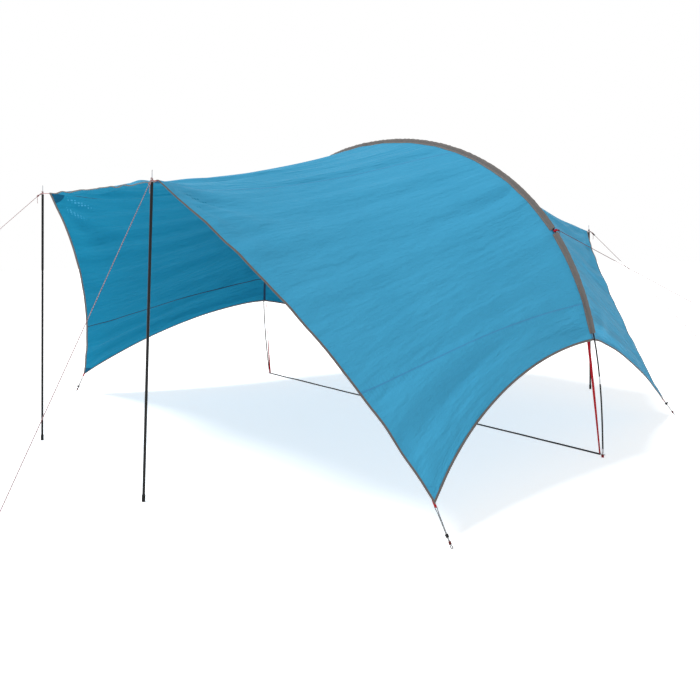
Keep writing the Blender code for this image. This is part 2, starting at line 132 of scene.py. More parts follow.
# Webbing.
GROUND_STRAP_END = ARCH_HALF_WIDTH - 0.0174
GROUND_STRAP_HALF = 0.0190
HEM_STRAP_TOP = (2.163, -0.087, 0.864)
HEM_STRAP_FOOT = (2.246, -0.004, 0.008)
HEM_STRAP_HALF = 0.010
TAIL_STRAP_HALF = 0.0095
TAIL_STRAP_LENGTH = 0.062
TAB_HALF = 0.012
TAB_HALF_THICKNESS = 0.0013
TAB_BORE = 0.0049
TAB_BEVEL = 0.0006
EYELET = (
    (0.0043, -0.0022), (0.0075, -0.0022), (0.0085, -0.0014),
    (0.0085, 0.0014), (0.0075, 0.0022), (0.0043, 0.0022),
)
LOW_TAB = (
    (-0.024, 0.0030), (-0.010, 0.0028), (0.004, 0.0030), (0.014, 0.0032), (0.0195, 0.0024),
    (0.0220, 0.0), (0.0195, -0.0024), (0.014, -0.0032), (0.004, -0.0030), (-0.010, -0.0028),
    (-0.024, -0.0030),
)
LOW_TAB_HALF = 0.0066
ARCH_LOOP_HALF = 0.0085

SIDES = (("right", 1), ("left", -1))

# The canopy's two ends, on the right. along is the way, in Y, from the arch to the end's edge.
ENDS = {
    "front": {
        "along": -1, "seed": 5, "eyelet": (0.993, -2.950, 2.000), "low": (2.587, -2.124, 0.203),
        "set_in": 0.050, "tab_length": 0.048, "guy_end": (2.81, -4.83, 0.0050),
        "tie_end": (2.749, -2.152, 0.0050), "tie_top_spread": 0.007, "lock_share": 0.72,
        "tension": {"roof": 0.75, "wall": 0.33, "top": 70.0, "side": 16.5, "hem": 4.2, "seam": 0.3},
    },
    "rear": {
        "along": 1, "seed": 23, "eyelet": (0.804, 1.889, 1.659), "low": (1.899, 1.525, 0.140),
        "set_in": 0.018, "tab_length": 0.016, "guy_end": (2.02, 3.09, 0.0050),
        "tie_end": (1.969, 1.606, 0.0050), "tie_top_spread": TIE_SPREAD, "lock_share": 0.25,
        "tension": {"roof": 0.13, "wall": 0.14, "top": 70.0, "side": 6.4, "hem": 2.1, "seam": 4.0},
    },
}


# ---- Camera and light ----


def place_camera():
    camera = bpy.data.objects.new("camera", bpy.data.cameras.new("camera"))
    bpy.context.scene.collection.objects.link(camera)
    camera.data.lens = CAMERA_LENS
    turn = Matrix.Rotation(-CAMERA_YAW, 4, "Z")
    tilt = Matrix.Rotation(math.pi / 2 + CAMERA_PITCH, 4, "X")
    camera.matrix_world = (
        Matrix.Translation(CAMERA_PLACE) @ turn @ tilt @ Matrix.Rotation(CAMERA_ROLL, 4, "Z")
    )
    bpy.context.scene.camera = camera


def light_studio():
    """White all round at eye level, dimmer overhead, and one soft light from above."""
    world = bpy.data.worlds.new("studio")
    world.use_nodes = True
    tree = world.node_tree
    direction = tree.nodes.new("ShaderNodeTexCoord")
    height = tree.nodes.new("ShaderNodeSeparateXYZ")
    fade = tree.nodes.new("ShaderNodeMapRange")
    for socket, value in (("From Min", 0.30), ("From Max", 0.65), ("To Min", 1.0), ("To Max", SKY_TOP)):
        fade.inputs[socket].default_value = value
    tree.links.new(direction.outputs["Generated"], height.inputs[0])
    tree.links.new(height.outputs[2], fade.inputs["Value"])
    tree.links.new(fade.outputs[0], tree.nodes["Background"].inputs["Strength"])
    tree.nodes["Background"].inputs["Color"].default_value = (1.0, 1.0, 1.0, 1.0)
    bpy.context.scene.world = world
    lamp = bpy.data.objects.new("soft_sun", bpy.data.lights.new("soft_sun", "SUN"))
    lamp.data.energy = SUN_STRENGTH
    lamp.data.angle = math.radians(SUN_SPREAD)
    lamp.rotation_mode = "QUATERNION"
    lamp.rotation_quaternion = Vector(SUN_FROM).to_track_quat("Z", "Y")
    bpy.context.scene.collection.objects.link(lamp)
    bpy.context.scene.view_settings.view_transform = "Standard"


# ---- Finishes ----


class Finish:
    """A material being made: one Principled shader, and short calls for the nodes that feed it."""

    def __init__(self, name, roughness, metallic=0.0, **fixed):
        self.made = bpy.data.materials.new(name)
        self.made.use_nodes = True
        self.tree = self.made.node_tree
        self.shader = self.tree.nodes["Principled BSDF"]
        self.shader.inputs["Roughness"].default_value = roughness
        self.shader.inputs["Metallic"].default_value = metallic
        for socket, value in fixed.items():
            self.shader.inputs[socket.replace("_", " ")].default_value = value

    def node(self, kind, inputs, **settings):
        made = self.tree.nodes.new(kind)
        for name, value in settings.items():
            setattr(made, name, value)
        for socket, value in inputs.items():
            if isinstance(value, bpy.types.NodeSocket):
                self.tree.links.new(value, made.inputs[socket])
            else:
                made.inputs[socket].default_value = value
        return made

    def math(self, operation, *values):
        return self.node("ShaderNodeMath", dict(enumerate(values)), operation=operation).outputs[0]

    def uv(self, name):
        parts = self.node("ShaderNodeUVMap", {}, uv_map=name)
        split = self.node("ShaderNodeSeparateXYZ", {0: parts.outputs[0]})
        return parts.outputs[0], split.outputs[0], split.outputs[1]

    def noise(self, vector, scale, detail=3.0, stretch=(1, 1, 1)):
        moved = self.node("ShaderNodeMapping", {"Vector": vector, "Scale": stretch})
        return self.node(
            "ShaderNodeTexNoise", {"Vector": moved.outputs[0], "Scale": scale, "Detail": detail}
        ).outputs[0]

    def times(self, first, second):
        return self.math("MULTIPLY", first, second)

    def scaled(self, value, factor, shift):
        return self.math("MULTIPLY_ADD", value, factor, shift)

    def over(self, value, limit):
        return self.math("GREATER_THAN", value, limit)

    def wave(self, value, length):
        """A sine of this wavelength, from 0 to 1."""
        turned = self.scaled(value, 2 * math.pi / length, 0.0)
        return self.scaled(self.math("SINE", turned), 0.5, 0.5)

    def mix(self, share, first, second):
        mixed = self.node("ShaderNodeMix", {0: share}, data_type="RGBA")
        for socket, value in ((6, first), (7, second)):
            if isinstance(value, bpy.types.NodeSocket):
                self.tree.links.new(value, mixed.inputs[socket])
            else:
                mixed.inputs[socket].default_value = (*value, 1.0)
        return mixed.outputs[2]

    def color(self, socket):
        self.tree.links.new(socket, self.shader.inputs["Base Color"])

    def rough(self, share, low, high):
        value = self.scaled(share, high - low, low)
        self.tree.links.new(value, self.shader.inputs["Roughness"])

    def bump(self, *heights):
        """Each height is a socket and how far, in metres, its 1 stands above its 0."""
        total = None
        for socket, distance in heights:
            height = self.times(socket, distance)
            total = height if total is None else self.math("ADD", total, height)
        bumped = self.node("ShaderNodeBump", {"Height": total, "Distance": 1.0, "Strength": 1.0})
        self.tree.links.new(bumped.outputs[0], self.shader.inputs["Normal"])


def lighter(color, factor):
    return [min(1.0, factor * part + 0.02) for part in color]


def cloth_finish(name, light, dark, roughness, sheen):
    """Thin coated weave: fine threads, a faint check, slow random changes of tone, and puckers at seams,
    darkened along their folds as painted shade.
    """
    finish = Finish(name, roughness, Sheen_Weight=sheen, Sheen_Roughness=0.5, Specular_IOR_Level=0.02)
    place, along, across = finish.uv("cloth")
    _, seam_along, seam_off = finish.uv("seam")
    threads = finish.times(finish.wave(along, 0.0011), finish.wave(across, 0.0011))
    check = finish.math(
        "MAXIMUM",
        finish.over(finish.wave(along, 0.0065), 0.97),
        finish.over(finish.wave(across, 0.0065), 0.97),
    )
    slow = finish.noise(place, 1.7, 4.0)
    mottle = finish.noise(place, 38.0, 5.0)
    crinkle = finish.noise(place, 4.5, 6.0, (1.0, 4.5, 1.0))
    near = finish.math("POWER", 2.718, finish.times(seam_off, -1 / 0.045))
    wobble = finish.scaled(mottle, 0.010, seam_along)
    pucker = finish.times(finish.wave(wobble, 0.030), near)
    shade = finish.scaled(mottle, 0.25, finish.times(slow, 0.75))
    base = finish.mix(shade, dark, light)
    base = finish.mix(finish.times(check, 0.10), base, dark)
    # Painted shade: the pucker folds by the seams darken the colour.
    finish.color(finish.mix(finish.times(pucker, 0.10), base, dark))
    finish.rough(mottle, roughness - 0.07, roughness + 0.09)
    finish.bump((threads, 0.00008), (crinkle, 0.0160), (pucker, 0.0013), (mottle, 0.0009))
    return finish.made


def webbing_finish(name, light, dark, roughness=0.72, stitched=True):
    """Ribbed webbing or tape, with a row of stitches near each edge."""
    finish = Finish(name, roughness, Sheen_Weight=0.03, Sheen_Roughness=0.5, Specular_IOR_Level=0.18)
    place, along, across = finish.uv("strip")
    rib = finish.wave(along, 0.0018)
    cross = finish.wave(finish.scaled(across, 0.02, along), 0.0042)
    fuzz = finish.noise(place, 240.0, 4.0, (1.0, 0.05, 1.0))
    worn = finish.noise(place, 14.0, 4.0, (1.0, 0.1, 1.0))
    # Colour is darker in the rib hollows, which is painted shade, and the worn noise adds random tone.
    shade = finish.scaled(rib, 0.35, finish.times(worn, 0.65))
    base = finish.mix(shade, dark, light)
    heights = [(rib, 0.00012), (cross, 0.00008), (fuzz, 0.00010)]
    if stitched:
        edge = finish.math("ABSOLUTE", finish.math("SUBTRACT", across, 0.5))
        off_row = finish.math("ABSOLUTE", finish.math("SUBTRACT", edge, 0.36))
        row = finish.math("LESS_THAN", off_row, 0.030)
        dash = finish.over(finish.wave(along, 0.0034), 0.30)
        stitch = finish.times(row, dash)
        base = finish.mix(finish.times(stitch, 0.55), base, lighter(light, 1.9))
        heights.append((row, -0.00015))
        heights.append((stitch, 0.00025))
    finish.color(base)
    finish.rough(worn, roughness - 0.08, roughness + 0.1)
    finish.bump(*heights)
    return finish.made


def cord_finish(name, main, fleck, share):
    """Braided cord: crossed strands, with the fleck colour on this share of each turn."""
    finish = Finish(name, 0.7, Sheen_Weight=0.02, Sheen_Roughness=0.5, Specular_IOR_Level=0.15)
    place, along, around = finish.uv("strip")
    spin = finish.times(around, 0.020)
    spiral = finish.wave(finish.math("ADD", along, spin), 0.020)
    counter = finish.wave(finish.math("SUBTRACT", along, spin), 0.020)
    spot = finish.over(finish.math("MAXIMUM", spiral, counter), 1.0 - share)
    one = finish.wave(finish.scaled(around, 0.0096, along), 0.0024)
    other = finish.wave(finish.scaled(around, -0.0096, along), 0.0024)
    strands = finish.times(one, other)
    grime = finish.noise(place, 60.0, 3.0)
    base = finish.mix(spot, main, fleck)
    finish.color(finish.mix(finish.times(grime, 0.35), base, [0.5 * c for c in main]))
    finish.bump((strands, 0.00030))
    return finish.made


def hard_finish(name, light, dark, roughness, shine, metallic=0.0, stretch=(1, 1, 1)):
    """Moulded, painted or bare metal: grain, faint wear and an uneven gloss."""
    grain = 90.0
    finish = Finish(name, roughness, metallic, Specular_IOR_Level=shine)
    place = finish.node("ShaderNodeTexCoord", {}).outputs["Object"]
    fine = finish.noise(place, grain, 5.0, stretch)
    wide = finish.noise(place, grain * 0.08, 4.0, stretch)
    scuff = finish.over(finish.noise(place, grain * 0.6, 6.0, stretch), 0.66)
    base = finish.mix(wide, dark, light)
    finish.color(finish.mix(finish.times(scuff, 0.07), base, lighter(light, 2.2)))
    finish.rough(fine, roughness - 0.08, roughness + 0.10)
    finish.bump((fine, 0.00012))
    return finish.made


def floor_finish():
    finish = Finish(
        "studio_floor", 0.9,
        Emission_Color=(1.0, 1.0, 1.0, 1.0), Emission_Strength=0.58, Specular_IOR_Level=0.0,
    )
    place = finish.node("ShaderNodeTexCoord", {}).outputs["Object"]
    finish.color(finish.mix(finish.noise(place, 0.6, 3.0), (0.86, 0.86, 0.86), (0.90, 0.90, 0.90)))
    return finish.made


# ---- Meshes ----


def add_mesh(name, verts, faces, uvs, finishes, indices=None, sharp=40):
    """A mesh object; uvs maps a layer's name to one (u, v) for each corner of each face."""
    mesh = bpy.data.meshes.new(name)
    mesh.from_pydata(np.asarray(verts).tolist(), [], faces)
    for layer, values in uvs.items():
        made = mesh.uv_layers.new(name=layer)
        made.data.foreach_set("uv", np.asarray(values, np.float32).ravel())
    for finish in finishes:
        mesh.materials.append(finish)
    if indices is not None:
        mesh.polygons.foreach_set("material_index", np.asarray(indices, np.int32))
    mesh.shade_smooth()
    if sharp:
        mesh.set_sharp_from_angle(angle=math.radians(sharp))
    obj = bpy.data.objects.new(name, mesh)
    bpy.context.scene.collection.objects.link(obj)
    return obj


def loft(name, rings, finish, across, ends="capped", sharp=40):
    """A skin through rings of points; across is each point's place round a ring, then the first's."""
    rings = np.asarray(rings, float)
    count, size = rings.shape[:2]
    middle = rings.mean(axis=1)
    along = np.concatenate([[0], np.cumsum(np.linalg.norm(np.diff(middle, axis=0), axis=1))])
    faces, uvs = [], []
    spans = count if ends == "joined" else count - 1
    for k in range(spans):
        n = (k + 1) % count
        far = along[n] if n else along[-1] + np.linalg.norm(middle[0] - middle[-1])
        for a in range(size):
            b = (a + 1) % size
            faces.append([k * size + a, k * size + b, n * size + b, n * size + a])
            uvs += [(along[k], across[a]), (along[k], across[a + 1])]
            uvs += [(far, across[a + 1]), (far, across[a])]
    if ends == "capped":
        faces.append(list(range(size))[::-1])
        faces.append([(count - 1) * size + a for a in range(size)])
        uvs += [(0.0, across[a]) for a in range(size)][::-1]
        uvs += [(along[-1], across[a]) for a in range(size)]
    verts = rings.reshape(-1, 3)
    thirds = [(face[0], b, c) for face in faces for b, c in zip(face[1:-1], face[2:])]
    if np.linalg.det(verts[thirds]).sum() < 0:
        starts = np.cumsum([0] + [len(face) for face in faces])
        uvs = [uv for a, b in zip(starts, starts[1:]) for uv in uvs[a:b][::-1]]
        faces = [face[::-1] for face in faces]
    return add_mesh(name, verts, faces, {"strip": uvs}, [finish], sharp=sharp)


def units(vectors):
    return vectors / np.linalg.norm(vectors, axis=-1)[..., None]


def frames(points):
    """Two unit vectors across a line at each point, which turn with it as little as they can."""
    along = units(np.gradient(points, axis=0))
    side = np.cross(along[0], (0, 0, 1))
    if np.linalg.norm(side) < 1e-3:
        side = np.cross(along[0], (1, 0, 0))
    sides = []
    for direction in along:
        side = side - direction * (side @ direction)
        side = side / np.linalg.norm(side)
        sides.append(side)
    return np.array(sides), np.cross(sides, along)


def tube(name, points, radius, finish, sides=10):
    """A round cord along the points."""
    points = np.asarray(points, float)
    side, up = frames(points)
    turn = 2 * math.pi * np.arange(sides) / sides
    ring = np.cos(turn)[:, None] * side[:, None] + np.sin(turn)[:, None] * up[:, None]
    across = np.arange(sides + 1) / sides
    rings = points[:, None] + radius * ring
    return loft(name, rings, finish, across)


STRAP_SECTION = (
    (-1.0, -0.25), (-1.0, 0.25), (-0.94, 0.5), (-0.5, 0.5), (0.0, 0.5), (0.5, 0.5), (0.94, 0.5),
)
STRAP_SECTION += tuple((-across, -up) for across, up in STRAP_SECTION)


def strap(name, centers, across, thickness, finish):
    """Flat webbing: at each centre, across is half its width as a vector."""
    centers = np.asarray(centers, float)
    across = np.asarray(across, float)
    face = np.cross(np.gradient(centers, axis=0), across)
    face *= thickness / np.linalg.norm(face, axis=1)[:, None]
    rings = [centers + across * x + face * y for x, y in STRAP_SECTION]
    spots = [(x + 1) / 2 for x, _ in STRAP_SECTION]
    return loft(name, np.stack(rings, axis=1), finish, spots + spots[:1])


def turned(name, profile, base, axis, finish, sides=32):
    """A turned piece from (radius, height) points; a profile that leaves the axis is a ring."""
    turn = 2 * math.pi * np.arange(sides) / sides
    rings = []
    for radius, height in profile:
        radius = max(radius, 1e-5)
        level = np.full(sides, height)
        rings.append(np.stack([radius * np.cos(turn), radius * np.sin(turn), level], 1))
    place = Vector((0, 0, 1)).rotation_difference(Vector(axis)).to_matrix()
    rings = np.array(rings) @ np.array(place).T + np.array(base)
    ends = "joined" if profile[0][0] > 0 else "capped"
    return loft(name, rings, finish, np.arange(sides + 1) / sides, ends, sharp=35)


# ---- Arch and net, as in the model ----


def mirrored(point, side):
    return np.array((point[0] * side, point[1], point[2]), float)


def unit(vector):
    vector = np.asarray(vector, float)
    return vector / np.linalg.norm(vector)


def arch_line(start_angle, end_angle, count, drop=0.0):
    angle = np.linspace(start_angle, end_angle, 900)
    x = ARCH_HALF_WIDTH * np.sign(np.cos(angle)) * np.abs(np.cos(angle)) ** (2 / ARCH_WIDTH_POWER)
    z = ARCH_HEIGHT * np.abs(np.sin(angle)) ** (2 / ARCH_HEIGHT_POWER)
    length = np.concatenate([[0], np.cumsum(np.hypot(np.diff(x), np.diff(z)))])
    even = np.linspace(0, length[-1], count)
    x = np.interp(even, length, x)
    z = np.interp(even, length, z)
    run = np.gradient(x)
    rise = np.gradient(z)
    size = np.hypot(run, rise)
    x, z = x - drop * rise / size, z + drop * run / size
    return np.column_stack([x, -ARCH_LEAN * z, z])


def arch_angle(height):
    return math.asin((height / ARCH_HEIGHT) ** (ARCH_HEIGHT_POWER / 2))


def arch_row(factor, drop):
    """The arch from hem to hem, with factor steps to each of the net's cells."""
    hem, seam = arch_angle(HEM_HEIGHT), arch_angle(SEAM_HEIGHT)
    right = arch_line(hem, seam, WALL_CELLS * factor + 1, drop)
    top = arch_line(seam, math.pi - seam, ROOF_CELLS * factor + 1, drop)
    return np.vstack([right, top[1:-1], right[::-1] * (-1, 1, 1)])


def fabric_net(raised, low, tension, along):
    """The rest shape of a stretched net: rows run from the arch to the end edge."""
    count = (COLUMNS + 1) * (LENGTH_CELLS + 1)
    seams = (WALL_CELLS, WALL_CELLS + ROOF_CELLS)

    def number(column, row):
        return row * (COLUMNS + 1) + column

    first = arch_row(1, CANOPY_DROP)
    first[:, 1] += along * PANEL_GAP
    place = np.zeros((count, 3))
    held = np.zeros(count, bool)
    for column in range(COLUMNS + 1):
        place[number(column, 0)] = first[column]
        held[number(column, 0)] = True
    ends = ((0, low, 1), (seams[0], raised, 1), (seams[1], raised, -1), (COLUMNS, low, -1))
    for column, point, side in ends:
        place[number(column, LENGTH_CELLS)] = mirrored(point, side)
        held[number(column, LENGTH_CELLS)] = True
    pull = np.zeros((count, count))

    def link(a, b, force):
        pull[a, a] += force
        pull[b, b] += force
        pull[a, b] -= force
        pull[b, a] -= force

    for row in range(1, LENGTH_CELLS + 1):
        for column in range(COLUMNS):
            wall = not seams[0] <= column < seams[1]
            cells = WALL_CELLS if wall else ROOF_CELLS
            kind = "wall" if wall else "roof"
            if row == LENGTH_CELLS:
                kind = "side" if wall else "top"
            link(number(column, row), number(column + 1, row), tension[kind] * cells)
    for column in range(COLUMNS + 1):
        force = 1.0
        if column in (0, COLUMNS):
            force = tension["hem"]
        elif column in seams:
            force = tension["seam"]
        for row in range(LENGTH_CELLS):
            link(number(column, row), number(column, row + 1), force * LENGTH_CELLS)
    free = ~held
    place[free] = np.linalg.solve(pull[np.ix_(free, free)], -pull[np.ix_(free, held)] @ place[held])
    return place.reshape(LENGTH_CELLS + 1, COLUMNS + 1, 3)


def raised_corner(end):
    """The cloth's own corner, a little in from the eyelet towards the middle of the canopy."""
    at = ENDS[end]
    return np.array(at["eyelet"]) + unit((-CORNER_ASIDE, -at["along"], CORNER_RISE)) * at["set_in"]


# ---- Cloth ----


def splined(points, factor):
    """Points on the natural cubic curve through these, factor steps to each gap."""
    count = len(points)
    bend = np.eye(count)
    load = np.zeros_like(points)
    for k in range(1, count - 1):
        bend[k, k - 1 : k + 2] = (1, 4, 1)
        load[k] = 6 * (points[k - 1] - 2 * points[k] + points[k + 1])
    curve = np.linalg.solve(bend, load.reshape(count, -1)).reshape(points.shape)
    spot = np.arange((count - 1) * factor + 1) / factor
    k = np.minimum(spot.astype(int), count - 2)
    t = (spot - k).reshape(-1, *([1] * (points.ndim - 1)))
    s = 1 - t
    return s * points[k] + t * points[k + 1] + ((s**3 - s) * curve[k] + (t**3 - t) * curve[k + 1]) / 6


def ripples(along, across, seed, lengths, widths, count=26):
    """Soft random waves, long one way and short the other, about 1 high."""
    random = np.random.default_rng(seed)
    total = np.zeros_like(along)
    for _ in range(count):
        slope = random.uniform(-1, 1) / random.uniform(*lengths)
        pitch = 1 / random.uniform(*widths)
        total += np.cos(2 * math.pi * (slope * along + pitch * across) + random.uniform(0, 2 * math.pi))
    return total / math.sqrt(count)


def fan(points, corner, toward, normal, folds, reach, seed):
    """Folds that spread from a pulled corner and die away at about twice the reach."""
    random = np.random.default_rng(seed)
    away = points - corner
    toward = unit(toward)
    side = np.cross(unit(normal), toward)
    distance = np.linalg.norm(away, axis=-1)
    turn = np.arctan2(away @ side, away @ toward)
    total = np.zeros_like(distance)
    for share in (1.0, 0.62, 1.35):
        sway = 0.5 * np.sin(distance / reach * 3 + random.uniform(0, 6))
        total += np.cos(folds * share * turn + random.uniform(0, 6) + sway) / (0.6 + share)
    near = distance / reach
    return total * (near * np.exp(1 - near)) ** 1.6 * np.clip((distance - 0.09) / 0.22, 0, 1)


class Cloth:
    """One end of the canopy as a fine wrinkled grid, read in the net's own rows and columns."""

    def __init__(self, end):
        at = ENDS[end]
        raised, low, along = raised_corner(end), np.array(at["low"]), at["along"]
        net = fabric_net(raised, low, at["tension"], along)
        last = WALL_CELLS + ROOF_CELLS
        panels = [net[:, : WALL_CELLS + 1], net[:, WALL_CELLS : last + 1], net[:, last:]]
        fine = [splined(np.swapaxes(part, 0, 1), FINE) for part in panels]
        grid = np.vstack([fine[0], fine[1][1:-1], fine[2]])
        grid = splined(np.swapaxes(grid, 0, 1), FINE)
        arch = arch_row(FINE, CANOPY_DROP)
        arch[:, 1] += along * PANEL_GAP
        fade = np.clip(1 - np.arange(len(grid)) / (1.5 * FINE), 0, 1) ** 2
        self.smooth = grid + (arch - grid[0]) * fade[:, None, None]
        self.along = along
        steps = np.linalg.norm(np.diff(self.smooth, axis=0), axis=2)
        self.u = np.vstack([np.zeros(steps.shape[1]), np.cumsum(steps, axis=0)])
        row = np.linalg.norm(np.diff(arch, axis=0), axis=1)
        self.v = np.tile(np.concatenate([[0], np.cumsum(row)]), (len(grid), 1))
        self.normal = self.normals(self.smooth)
        self.points = self.smooth + self.normal * self.wrinkles(raised, low, at["seed"])[:, :, None]
        self.normal = self.normals(self.points)

    def normals(self, grid):
        normal = np.cross(np.gradient(grid, axis=1), np.gradient(grid, axis=0)) * -self.along
        return units(normal)

    def wrinkles(self, raised, low, seed):
        points = self.smooth
        total = BROAD_WAVES * ripples(self.u, self.v, seed, (1.4, 4.0), (0.14, 0.50))
        total += SMALL_WAVES * ripples(self.u, self.v, seed + 1, (0.5, 1.5), (0.05, 0.12))
        row = np.arange(points.shape[0])[:, None] / FINE
        column = np.arange(points.shape[1])[None, :] / FINE
        for side in (1, -1):
            hem = 0 if side > 0 else -1
            seam = WALL_CELLS * FINE if side > 0 else -WALL_CELLS * FINE - 1
            top, foot = mirrored(raised, side), mirrored(low, side)
            arch_foot = points[0, hem]
            half = len(points) // 2
            middle = points[half, (hem + seam) // 2]
            out = self.normal[half, seam]
            wall_out = self.normal[half, 3 * FINE * side]
            total += RAISED_FOLDS * fan(points, top, middle - top, out, 11, 0.46, seed + 2)
            for low_point, folds, more in ((foot, 10, 3), (arch_foot, 9, 4)):
                toward = middle - low_point
                total += LOW_FOLDS * fan(points, low_point, toward, wall_out, folds, 0.38, seed + more)
            off = column if side > 0 else COLUMNS - column
            crease = 0.45 + 0.085 * np.clip(row - 2.6, 0, None)
            ends = np.clip(row / 2, 0, 1) * np.clip((LENGTH_CELLS - row) / 3, 0, 1)
            total += CREASE * np.exp(-(((off - crease) / 0.09) ** 2)) * ends
        free = self.u[-1][None, :] - self.u
        return total * np.clip(self.u / 0.12, 0, 1) * np.clip(0.35 + free / 0.20, 0.35, 1)

    def read(self, values, row, column):
        row, column = np.broadcast_arrays(np.asarray(row, float), np.asarray(column, float))
        y = np.clip(row * FINE, 0, values.shape[0] - 1.0001)
        x = np.clip(column * FINE, 0, values.shape[1] - 1.0001)
        i, j = y.astype(int), x.astype(int)
        s, t = (y - i)[..., None], (x - j)[..., None]
        low = values[i, j] * (1 - t) + values[i, j + 1] * t
        high = values[i + 1, j] * (1 - t) + values[i + 1, j + 1] * t
        return low * (1 - s) + high * s

    def at(self, row, column, lift=0.0):
        """Points on the cloth, lifted off it along its normal."""
        return self.read(self.points, row, column) + self.read(self.normal, row, column) * lift

    def aside(self, row, column, inward, distance, lift):
        """Points this far from (row, column) towards inward, given in rows and columns."""
        row, column = np.broadcast_arrays(np.asarray(row, float), np.asarray(column, float))
        edge = self.at(row, column)
        probe = 0.25
        step = self.at(row + inward[0] * probe, column + inward[1] * probe) - edge
        reach = np.linalg.norm(step, axis=-1)
        lifted = self.read(self.normal, row, column) * lift
        if distance <= 0:
            return edge + step / reach[..., None] * distance + lifted
        share = probe * distance / reach
        return self.at(row + inward[0] * share, column + inward[1] * share) + lifted


def wall_seam(row):
    """The column, counted from the hem, where the front wall's cross seam meets each row."""
    return 1.10 + 1.25 * np.asarray(row, float) / LENGTH_CELLS


def seam_map(cloth, front):
    """For each grid point, its place along the nearest cross seam and its distance from it."""
    rows, columns = cloth.points.shape[:2]
    row = np.arange(rows)[:, None] / FINE
    column = np.arange(columns)[None, :] / FINE
    off = np.minimum(column, COLUMNS - column)
    width = np.linalg.norm(np.diff(cloth.smooth[:, : 2 * FINE + 1], axis=1), axis=2).mean() * FINE
    roof = np.abs(off - WALL_CELLS) * width + 0 * row
    distance = roof
    if front:
        distance = np.minimum(roof, np.abs(off - wall_seam(row)) * width)
    return cloth.u, distance


def build_cloth(name, cloth, finishes, front):
    """Two skins a cloth's thickness apart, closed along the edges."""
    rows, columns = cloth.points.shape[:2]
    size = rows * columns
    outer = (cloth.points + cloth.normal * CLOTH / 2).reshape(-1, 3)
    inner = (cloth.points - cloth.normal * CLOTH / 2).reshape(-1, 3)
    index = np.arange(size).reshape(rows, columns)
    cells = np.stack([index[:-1, :-1], index[:-1, 1:], index[1:, 1:], index[1:, :-1]], -1).reshape(-1, 4)
    if cloth.along > 0:
        cells = cells[:, ::-1]
    rim = np.concatenate([index[0], index[1:, -1], index[-1, -2::-1], index[-2:0:-1, 0]])
    after = np.roll(rim, -1)
    walls = np.stack([after, rim, rim + size, after + size], -1)
    if cloth.along > 0:
        walls = walls[:, ::-1]
    faces = np.vstack([cells, cells[:, ::-1] + size, walls])
    marks = np.concatenate([np.zeros(len(cells)), np.ones(len(cells) + len(walls))])
    place = np.stack([cloth.u, cloth.v], -1).reshape(-1, 2)
    seam = np.stack(seam_map(cloth, front), -1).reshape(-1, 2)
    uvs = {"cloth": place[faces % size].reshape(-1, 2), "seam": seam[faces % size].reshape(-1, 2)}
    verts = np.vstack([outer, inner])
    return add_mesh(name, verts, faces.tolist(), uvs, finishes, marks, sharp=None)


TAPE_SECTION = (
    (0.0125, 0.0016), (0.0125, 0.0024), (0.0070, 0.0029), (0.0005, 0.0030), (-0.0024, 0.0015),
    (-0.0024, -0.0015), (0.0005, -0.0030), (0.0070, -0.0029), (0.0125, -0.0024), (0.0125, -0.0016),
)
TAPE_ACROSS = (1.0, 0.95, 0.70, 0.35, 0.05, 0.05, 0.35, 0.70, 0.95, 1.0, 1.0)


def edge_rings(cloth, row, column, inward):
    rings = [cloth.aside(row, column, inward, depth, lift) for depth, lift in TAPE_SECTION]
    return np.stack(rings, axis=1)


def seam_strip(name, cloth, row, column, half, lift, finish):
    """A folded seam: a narrow strip on one face of the cloth."""
    face = 1 if lift > 0 else -1
    section = ((-half, 0.0002), (-half, 0.6), (0.0, 1.0), (half, 0.6), (half, 0.0002))
    rings = []
    for off, high in section:
        inward = (0, math.copysign(1, off)) if off else (0, 1)
        distance = max(abs(off), 1e-5)
        rings.append(cloth.aside(row, column, inward, distance, face * (CLOTH / 2 + abs(lift) * high)))
    across = (0.0, 0.1, 0.5, 0.9, 1.0, 0.0)
    return loft(name, np.stack(rings, axis=1), finish, across)


def corner_patch(name, cloth, row, column, sweeps, reach, lift, finish):
    """A reinforcing patch with a rounded edge, laid on one face of the cloth at a corner."""
    turns, steps = 40, 22
    angle = np.linspace(0, math.pi / 2, turns + 1)[:, None]
    heading = np.vstack([np.cos(angle) * first + np.sin(angle) * second for first, second in sweeps])
    size = len(heading)
    shares = np.clip(np.arange(steps + 1) / steps, 0.02, 1)
    inward = (heading[:, 0], heading[:, 1])
    face = math.copysign(1, lift)
    skins = []
    for depth in (lift, lift - face * 0.0008):
        skins.append([cloth.aside(row, column, inward, reach * share, depth) for share in shares])
    grid = np.array(skins).reshape(2, (steps + 1) * size, 3)
    faces = []
    for k in range(steps):
        for a in range(size - 1):
            faces.append([k * size + a, k * size + a + 1, (k + 1) * size + a + 1, (k + 1) * size + a])
    top = len(grid[0])
    rim = list(range(size)) + [(k + 1) * size - 1 for k in range(1, steps)]
    rim += [steps * size + a for a in range(size - 1, -1, -1)] + [k * size for k in range(steps - 1, 0, -1)]
    walls = [[b, a, a + top, b + top] for a, b in zip(rim, rim[1:] + rim[:1])]
    faces = faces + [[top + k for k in cell[::-1]] for cell in faces] + walls
    turn = np.linspace(0, math.pi, size)
    spots = np.multiply.outer(shares * reach, np.stack([np.cos(turn), np.sin(turn)], 1)).reshape(-1, 2)
    order = np.array([corner % top for cell in faces for corner in cell])
    uvs = {"cloth": spots[order], "seam": np.tile((0.0, 9.0), (len(order), 1))}
    piece = add_mesh(name, grid.reshape(-1, 3), faces, uvs, [finish])
    turn_out(piece)
    return piece


def turn_out(obj):
    """Turns a closed mesh's faces outward."""
    shell = bmesh.new()
    shell.from_mesh(obj.data)
    bmesh.ops.recalc_face_normals(shell, faces=shell.faces)
    shell.to_mesh(obj.data)
    shell.free()


# ---- Cords, as in the model ----


